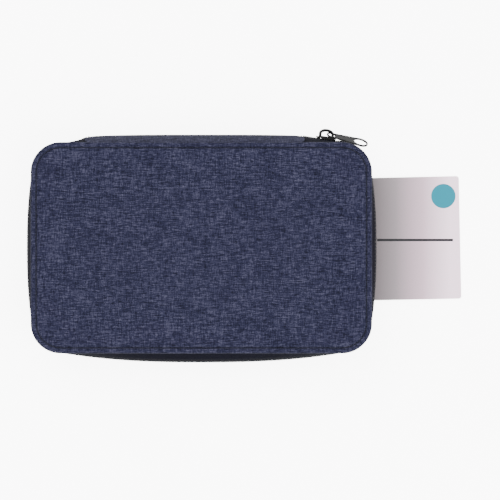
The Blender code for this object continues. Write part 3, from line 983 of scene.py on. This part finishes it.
@dataclass
class Zipper:
    """The main zipper's tapes, coils and sewing."""

    shape: CaseShape
    finishes: Finishes
    pitch: float = 1.40 * MM
    tooth_width: float = 0.92 * MM
    tooth_depth: float = 2.15 * MM
    tooth_height: float = 2.75 * MM
    tooth_offset: float = 1.48 * MM
    cord_radius: float = 0.55 * MM
    cord_shift: float = 0.5 * MM
    cord_spacing: float = 4.0 * MM
    seam_offset: float = 3.7 * MM
    seam_pitch: float = 2.2 * MM
    root_band: float = 0.8 * MM
    root_tuck: float = 2.2 * MM
    edge_reach: float = 1.8 * MM

    def build(self) -> None:
        """Builds both halves."""
        for side in Side:
            self.build_tape(side)
            self.build_cord(side)
            self.build_teeth(side)
            self.build_seam(side)

    def build_tape(self, side: Side) -> None:
        """Builds a tape, from the rolled edge to its coil. The front one is the back one turned over."""
        piece = copy_of_node("zipper_tape_back", f"woven_tape_{side.label}", flat=0.0)
        low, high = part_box("zipper_tape_back")
        for vertex in piece.data.vertices:
            if vertex.co.z < low.z + self.root_band:
                vertex.co.z -= self.root_tuck
            elif vertex.co.z > high.z - self.root_band:
                vertex.co.z += self.edge_reach
        if side is Side.FRONT:
            for vertex in piece.data.vertices:
                vertex.co.z = 2 * self.shape.mid_z - vertex.co.z
            edit(piece, lambda: bpy.ops.mesh.flip_normals())
        smooth(rounded(quads(piece)), 50.0)
        node = f"zipper_tape_{side.label}"
        finish_piece(piece, side.body, self.finishes["tape"], "zipper_tape", node)
        length = along_line(self.shape.zipper_line(self.shape.mid_z))

    def build_cord(self, side: Side) -> None:
        """Builds the cord that runs inside a coil."""
        z = self.shape.mid_z + side.value * (self.tooth_offset + self.cord_shift)
        curve = bpy.data.curves.new(f"coil_cord_{side.label}", "CURVE")
        curve.dimensions = "3D"
        curve.bevel_depth = self.cord_radius
        curve.bevel_resolution = 1
        curve.use_fill_caps = True
        line = self.shape.zipper_line(z, self.cord_spacing)
        spline = curve.splines.new("POLY")
        spline.points.add(len(line) - 1)
        for point, place in zip(spline.points, line):
            point.co = (*place, 1.0)
        take(add_object(f"coil_cord_{side.label}", curve))
        bpy.ops.object.convert(target="MESH")
        piece = bpy.context.object
        edit(piece, lambda: bpy.ops.mesh.remove_doubles(threshold=0.00001))
        finish_piece(smooth(piece, 60.0), side.body, self.finishes["coil"], "zipper_coil")

    def tooth(self) -> Piece:
        """Makes one turn of the coil: a bar across the chain with a wider head at its free end.

        Returns:
            The model to scatter, with its head towards -Z.
        """
        settings = {"vertices": 8, "radius": 0.5, "depth": 0.8}
        piece = primitive("cylinder", "tooth_model", (1.0, 1.0, 1.0), **settings)
        pick(piece, "FACE", lambda middle: middle.z < -0.35)
        for drop, size in ((0.08, 1.25), (0.10, 0.55)):
            extrude((0, 0, -drop), (size, size, 1.0))
        bpy.ops.object.mode_set(mode="OBJECT")
        pick(piece, "FACE", lambda middle: middle.z > 0.35)
        extrude((0, 0, 0.12), (0.6, 0.6, 1.0))
        bpy.ops.object.mode_set(mode="OBJECT")
        piece.scale = (self.tooth_width, self.tooth_depth, self.tooth_height)
        return settle(piece)

    def build_teeth(self, side: Side) -> None:
        """Sets a row of teeth along the chain. The two rows are half a pitch apart, so they mesh."""
        z = self.shape.mid_z + side.value * self.tooth_offset
        line = self.shape.zipper_line(z)
        start = 0.25 if side is Side.BACK else 0.75
        steps = walk(line, self.pitch, start)
        places = [upright(place, along, UP * side.value) for place, along in steps]
        piece = scatter(f"coil_teeth_{side.label}", self.tooth(), places)
        node = f"zipper_coil_{side.label}"
        finish_piece(piece, side.body, self.finishes["coil"], "zipper_coil", node)

    def build_seam(self, side: Side) -> None:
        """Sews the coil to its tape."""
        z = self.shape.mid_z + side.value * self.seam_offset
        line = self.shape.zipper_line(z)
        rise = self.shape.tape_thickness / 2
        outer = []
        for i, place in enumerate(line):
            along = line[min(i + 1, len(line) - 1)] - line[max(i - 1, 0)]
            outer.append(place + Vector((-along.y, along.x, 0.0)).normalized() * rise)
        middle = UP * self.shape.mid_z
        name = f"coil_stitches_{side.label}"
        piece = COIL_STITCH.seam(name, outer, lambda place: place - middle, self.seam_pitch)
        finish_piece(piece, side.body, self.finishes["thread"], "zipper_tape")


@dataclass
class Spine:
    """The soft spine: a middle strip, and two strips between it and the covers."""

    shape: CaseShape
    finishes: Finishes
    overlap: float = 1.9 * MM
    proud: float = 0.75 * MM
    root_band: float = 0.8 * MM
    root_tuck: float = 2.6 * MM
    lining_tuck: float = 0.65 * MM
    core: float = 1.5 * MM
    fold_height: float = 4.5 * MM
    seam_inset: float = 0.6 * MM
    stitch_pitch: float = 2.6 * MM

    def build(self) -> None:
        """Builds the strips, the sewn ends and the lining."""
        low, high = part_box("spine_fabric")
        bottom, top = low.z + self.fold_height, high.z - self.fold_height
        self.build_strip(bottom, top)
        self.build_fold(Side.BACK, low.z, bottom)
        self.build_fold(Side.FRONT, top, high.z)
        self.build_end_seams(bottom, top)
        lining = copy_of_node("spine_lining", "spine_lining_cloth", flat=0.0)
        self.tuck_ends(lining, self.lining_tuck)
        smooth(rounded(lining), 50.0)
        finish_piece(lining, "spine", self.finishes["lining"], "lining", "spine_lining")

    def tuck_ends(self, piece: Piece, tuck: float) -> None:
        """Lengthens both long edges of a spine layer into the covers' rolled edges.

        Args:
            piece: the layer.
            tuck: how far each edge is moved.
        """
        heights = [vertex.co.z for vertex in piece.data.vertices]
        low, high = min(heights) + self.root_band, max(heights) - self.root_band
        for vertex in piece.data.vertices:
            if vertex.co.z < low:
                vertex.co.z -= tuck
            elif vertex.co.z > high:
                vertex.co.z += tuck

    def strip(self, name: str, bottom: float, top: float, core: float = 0.0) -> Piece:
        """Cuts a strip out of the spine's cloth between two heights.

        Args:
            name: the strip's name.
            bottom: its lower edge.
            top: its upper edge.
            core: how much thicker than its cloth the strip is, for a board sewn into it.

        Returns:
            The closed strip, longer than the CAD one at both ends and proud of the tapes.
        """
        piece = copy_of_node("spine_fabric", name, flat=0.0)
        self.tuck_ends(piece, self.root_tuck)
        for vertex in piece.data.vertices:
            if vertex.normal.y < 0:
                vertex.co.y -= core
        rounded(quads(piece))
        left, right = self.shape.spine
        stretch = (right - left + 2 * self.overlap) / (right - left)
        centre = (left + right) / 2
        for vertex in piece.data.vertices:
            vertex.co.x = centre + (vertex.co.x - centre) * stretch
            vertex.co.y += self.proud
        for height, outward in ((bottom, -1), (top, 1)):
            cut = {"plane_co": (0, 0, height), "plane_no": (0, 0, outward)}
            edit(piece, lambda: bpy.ops.mesh.bisect(use_fill=True, clear_outer=True, **cut))
        return smooth(piece, 50.0)

    def build_strip(self, bottom: float, top: float) -> None:
        """Builds the middle strip with its board sewn in, which rides on the spine."""
        piece = self.strip("spine_strip", bottom, top, self.core)
        nodes = ("spine_fabric", "spine_stiffener")
        finish_piece(piece, "spine", self.finishes["melange"], "navy_fabric", *nodes)

    def build_fold(self, side: Side, bottom: float, top: float) -> None:
        """Builds a strip between the spine and a cover, in its closed place.

        Args:
            side: the cover that it is sewn to.
            bottom: its lower edge.
            top: its upper edge.
        """
        if side is Side.BACK:
            bottom -= 2 * self.root_tuck
        else:
            top += 2 * self.root_tuck
        piece = self.strip(f"spine_fold_{side.label}", bottom, top)
        piece.data.materials.clear()
        piece.data.materials.append(self.finishes["melange"])
        if side is Side.BACK:
            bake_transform(piece)
        else:
            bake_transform(piece)
        LOG.info("%s bends between the spine and the %s cover", piece.name, side.label)

    def build_end_seams(self, bottom: float, top: float) -> None:
        """Sews the spine's ends down over the tapes."""
        out = Vector((0.0, 1.0, 0.0))
        for name, end, inward in zip(("left", "right"), self.shape.spine, (1, -1)):
            x = end + inward * self.seam_inset
            sample = x - 0.1 * MM if inward > 0 else x
            y = self.shape.half.y + self.shape.top_swell(sample) + self.shape.strip_gap
            line = [Vector((x, y + self.proud, z)) for z in np.linspace(bottom, top, 6)]
            stitches = f"spine_end_stitches_{name}"
            piece = Stitch(1.8 * MM).seam(stitches, line, lambda _: out, self.stitch_pitch)
            finish_piece(piece, "spine", self.finishes["thread"], "navy_fabric")


@dataclass
class Hardware:
    """The two sliders and their pull tabs, with eased edges."""

    finishes: Finishes
    ease: float = 0.16 * MM
    small_share: float = 0.6
    crown_swell: float = 0.25 * MM
    tab_swell: float = 0.15 * MM
    pivot_height: float = 4.4 * MM
    housing: tuple[float, float, float] = (9.4 * MM, 0.95 * MM, 2.0 * MM)
    housing_height: float = 2.45 * MM
    bodies: tuple[tuple[str, str], ...] = (
        ("slider_body", "slider"),
        ("slider_crown", "slider"),
        ("pull_tab", "pull_tab"),
        ("pocket_slider_body", "pocket_slider"),
        ("pocket_slider_crown", "pocket_slider"),
        ("pocket_pull_tab", "pocket_pull_tab"),
    )

    def build(self) -> None:
        """Builds each piece from its CAD node."""
        for node, body in self.bodies:
            piece = copy_of_node(node, f"{node}_cast", flat=2.0)
            width = self.ease * (self.small_share if node.startswith("pocket") else 1.0)
            if node == "slider_crown":
                edit(piece, lambda: bpy.ops.transform.shrink_fatten(value=self.crown_swell))
            elif "crown" not in node:
                if node == "pull_tab":
                    edit(piece, lambda: bpy.ops.transform.shrink_fatten(value=self.tab_swell))
                eased(piece, width, 3, angle_limit=math.radians(40))
            smooth(piece, 40.0)
            finish = self.finishes["metal" if "tab" in node else "enamel"]
            finish_piece(piece, body, finish, "black_metal", node)
        self.build_housing()

    def build_housing(self) -> None:
        """Builds the lock housing, the low block on the slider between the feet of its crown."""
        joints = {joint["name"]: joint for joint in frame["joints"]}
        along = Vector(joints["slider_slide"]["axis"])
        pivot = Vector(joints["pull_tab_swing"]["pos_m"])
        away = UP.cross(along)
        middle = pivot - away * (self.pivot_height - self.housing_height)
        piece = eased(primitive("cube", "slider_lock_housing", self.housing, size=1.0), 0.3 * MM, 3)
        piece.matrix_world = upright(middle, along, UP)
        settle(piece)
        finish_piece(smooth(piece), "slider", self.finishes["enamel"], "black_metal")


@dataclass
class Interior:
    """The pockets, slots and pen loops; the pockets and slots each with its hem and sewing."""

    finishes: Finishes
    hem_width: float = 4.0 * MM
    hem_rise: float = 0.12 * MM
    hem_margin: float = 3.0 * MM
    ease: float = 0.1 * MM
    loop_ease: float = 0.12 * MM
    slip_ease: float = 0.15 * MM
    slip_margin: float = 19.0 * MM
    stitch_pitch: float = 2.6 * MM
    tooth_pitch: float = 1.1 * MM
    tooth_width: float = 0.75 * MM
    net_cell: float = 2.6 * MM
    yarn: float = 0.42 * MM

    def build(self) -> None:
        """Builds everything inside the case, and the slip pocket on its back."""
        for node in ("document_pocket", "card_slot_1", "card_slot_2", "card_slot_3", "note_pocket"):
            self.build_pocket(node)
        for side in ("left", "right"):
            for number in (1, 2, 3):
                self.build_loop(f"pen_loop_{side}_{number}")
        self.build_net()
        for node in ("pocket_frame", "pocket_tape_near", "pocket_tape_far"):
            self.build_flat(node, "front_cover")
        for node in ("pocket_coil_near", "pocket_coil_far"):
            self.build_pocket_teeth(node)
        self.build_slip_pocket()

    def build_flat(self, node: str, body: str) -> None:
        """Builds a flat sewn piece with eased edges."""
        kind = "tape" if "tape" in node else "lining"
        slot = "zipper_tape" if kind == "tape" else "lining"
        piece = smooth(eased(copy_of_node(node, f"{node}_cloth"), self.ease))
        finish_piece(piece, body, self.finishes[kind], slot, node)

    def build_pocket(self, node: str) -> None:
        """Builds a pocket's cloth, the folded hem along its mouth and the sewing on that hem."""
        low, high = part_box(node)
        piece = smooth(eased(copy_of_node(node, f"{node}_cloth"), self.ease))
        finish_piece(piece, "back_cover", self.finishes["lining"], "lining", node)
        middle = Vector(((low.x + high.x) / 2, high.y - self.hem_width / 2, high.z))
        size = (high.x - low.x, self.hem_width, 2 * self.hem_rise)
        hem = primitive("cube", f"{node}_hem", size, size=1.0, location=middle)
        finish_piece(smooth(eased(hem, self.ease, 3)), "back_cover", self.finishes["tape"], "lining")
        y = high.y - self.hem_width + 0.8 * MM
        z = high.z + self.hem_rise
        ends = [Vector((x, y, z)) for x in (low.x + self.hem_margin, high.x - self.hem_margin)]
        seam = HEM_STITCH.seam(f"{node}_stitches", ends, lambda _: UP, self.stitch_pitch)
        finish_piece(seam, "back_cover", self.finishes["thread"], "lining")

    def build_loop(self, node: str) -> None:
        """Builds a pen loop as a smooth ribbed band."""
        piece = copy_of_node(node, f"{node}_elastic", flat=0.0)
        eased(quads(piece), self.loop_ease, angle_limit=math.radians(60))
        smooth(rounded(piece), 50.0)
        finish_piece(piece, "back_cover", self.finishes["elastic"], "elastic", node)

    def build_net(self) -> None:
        """Builds the net of the zipped pocket as real yarns."""
        low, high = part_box("pocket_mesh")
        middle = (low + high) / 2
        columns = round((high.x - low.x) / self.net_cell)
        rows = round((high.y - low.y) / self.net_cell)
        scale = ((high.x - low.x) / 2, (high.y - low.y) / 2, 1.0)
        grid = {"x_subdivisions": columns, "y_subdivisions": rows, "size": 2.0}
        piece = primitive("grid", "pocket_net", scale, location=middle, **grid)
        apply(piece, "WIREFRAME", thickness=self.yarn, use_even_offset=False)
        smooth(piece, 60.0)
        finish_piece(piece, "front_cover", self.finishes["net"], "mesh_net", "pocket_mesh")

    def build_pocket_teeth(self, node: str) -> None:
        """Sets the small teeth of the pocket's zipper along a straight row."""
        low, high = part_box(node)
        middle = (low + high) / 2
        line = [Vector((x, middle.y, middle.z)) for x in (low.x, high.x)]
        scale = (self.tooth_width, high.y - low.y, high.z - low.z)
        ball = {"segments": 8, "ring_count": 6, "radius": 0.5}
        model = primitive("uv_sphere", "small_tooth_model", scale, **ball)
        start = 0.25 if node.endswith("near") else 0.75
        steps = walk(line, self.tooth_pitch, start)
        places = [upright(place, along, UP) for place, along in steps]
        piece = scatter(f"{node}_teeth", model, places)
        finish_piece(piece, "front_cover", self.finishes["coil"], "zipper_coil", node)

    def build_slip_pocket(self) -> None:
        """Builds the pocket on the back, with a row of stitches at its mouth."""
        node = "back_slip_pocket"
        piece = smooth(eased(copy_of_node(node, "slip_pocket_cloth"), self.slip_ease))
        finish_piece(piece, "back_cover", self.finishes["melange"], "navy_fabric", node)
        low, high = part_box(node)
        x, z = high.x - 1.6 * MM, low.z + 0.02 * MM
        ends = [Vector((x, y, z)) for y in (low.y + self.slip_margin, high.y - self.slip_margin)]
        seam = HEM_STITCH.seam("slip_pocket_stitches", ends, lambda _: -UP, self.stitch_pitch)
        finish_piece(seam, "back_cover", self.finishes["thread"], "navy_fabric")


@dataclass
class Studio:
    """The floor, the lights and the camera, straight above the closed case."""

    distance: float = 2.0
    field_width: float = 313.5 * MM
    aim: tuple[float, float] = (30.3 * MM, -1.4 * MM)
    floor_size: float = 12.0
    floor_glow: float = 6.5
    sky: float = 2.1
    lamp_power: float = 38.0

    def build(self, shape: CaseShape) -> None:
        """Builds the studio.

        Args:
            shape: the case, for the height that the camera is set at.
        """
        place = UP * (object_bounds()[0].z - 0.05 * MM)
        scale = (1.0, 1.0, 1.0)
        floor = primitive("plane", "studio_floor", scale, size=self.floor_size, location=place)
        graph = Graph("pale_floor", 0.9, 0.0)
        graph.shader.inputs["Emission Color"].default_value = (1.0, 1.0, 1.0, 1.0)
        graph.shader.inputs["Emission Strength"].default_value = self.floor_glow
        white = graph.ramp(graph.noise((3.0,) * 3), [(0.0, (0.93,) * 3), (1.0, (0.96,) * 3)])
        floor.data.materials.append(graph.finish(white))
        floor.visible_diffuse = False
        floor.visible_glossy = False
        floor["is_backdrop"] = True
        world = bpy.data.worlds.new("studio_sky")
        world.use_nodes = True
        backdrop = world.node_tree.nodes["Background"]
        backdrop.inputs["Color"].default_value = (1.0, 1.0, 1.0, 1.0)
        backdrop.inputs["Strength"].default_value = self.sky
        bpy.context.scene.world = world
        for name, place in (("key", (-0.7, 0.9, 1.5)), ("fill", (0.9, -0.8, 1.3))):
            light = bpy.data.lights.new(f"{name}_lamp", "AREA")
            light.size = 1.4
            light.energy = self.lamp_power
            lamp = add_object(f"{name}_lamp", light)
            lamp.location = place
            lamp.rotation_euler = (-Vector(place)).to_track_quat("-Z", "Y").to_euler()
        camera = bpy.data.cameras.new("studio_camera")
        camera.lens = camera.sensor_width * self.distance / self.field_width
        camera.clip_end = 20.0
        holder = add_object("studio_camera", camera)
        holder.location = (*self.aim, shape.mid_z + self.distance)
        bpy.context.scene.camera = holder


def make_finishes() -> Finishes:
    """Makes every material by its short name.

    Returns:
        The materials.
    """
    low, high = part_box("insert_card")
    card = PrintedCard(
        disc=(high.x - 11.3 * MM, high.y - 12.6 * MM),
        disc_radius=7.7 * MM,
        rule=(high.x - 29.2 * MM, (low.y + high.y) / 2 - 0.4 * MM),
        rule_half=(24.0 * MM, 0.8 * MM),
        # Painted shade of the case's shadow runs over the card's last 58 mm.
        shade_span=(high.x - 58.0 * MM, high.x),
        middle_z=(low.z + high.z) / 2,
    )
    elastic = {"pitch": 0.9 * MM, "depth": 0.12 * MM, "roughness": 0.8, "ribbed": True}
    hard = {"specular": 0.12, "grain": 3 * MM}
    nylon = {"specular": 0.30, "grain": 1.5 * MM}
    finishes = {
        "melange": MelangeFabric(),
        "tape": WovenTape(),
        "lining": PlainCloth("lining_cloth", (0.007, 0.0075, 0.012), (0.020, 0.021, 0.031)),
        "elastic": PlainCloth("ribbed_elastic", (0.002, 0.002, 0.003), (0.010, 0.010, 0.012), **elastic),
        "net": PlainCloth("net_yarn", (0.003, 0.003, 0.004), (0.010, 0.010, 0.013)),
        "thread": PlainCloth("sewing_thread", (0.005, 0.0054, 0.014), (0.015, 0.0155, 0.031), 0.25 * MM),
        "coil": Moulded("coil_nylon", (0.006, 0.006, 0.0075), (0.026, 0.026, 0.028), 0.30, **nylon),
        "enamel": Moulded("black_enamel", (0.0012, 0.0014, 0.0016), (0.004, 0.0042, 0.0044), 0.30, **hard),
        "metal": Moulded("black_coated_metal", (0.014, 0.014, 0.015), (0.024, 0.024, 0.025), 0.48, **hard),
        "board": Moulded("board", (0.16, 0.14, 0.11), (0.28, 0.25, 0.20), 0.9, grain=0.6 * MM),
        "card": card,
    }
    return {key: finish.make() for key, finish in finishes.items()}


def dress_hidden_nodes(finishes: Finishes) -> None:
    """Gives the CAD nodes that stay their materials.

    Args:
        finishes: the materials.
    """
    for node, key, slot in (
        ("back_cover_board", "board", "board_core"),
        ("front_cover_board", "board", "board_core"),
        ("insert_card", "card", "card_stock"),
    ):
        piece = frame["nodes"][node]
        piece.data.materials.clear()
        piece.data.materials.append(finishes[key])
        LOG.info("%s keeps its CAD shape", node)


def main() -> None:
    """Builds the organizer's looks in order."""
    logging.basicConfig(level=logging.INFO, format="%(message)s")
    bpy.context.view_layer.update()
    finishes = make_finishes()
    shape = CaseShape()
    for side in Side:
        Cover(side, shape, finishes).build()
    Zipper(shape, finishes).build()
    Spine(shape, finishes).build()
    Hardware(finishes).build()
    Interior(finishes).build()
    dress_hidden_nodes(finishes)
    Studio().build(shape)


if __name__ == "__main__":
    main()
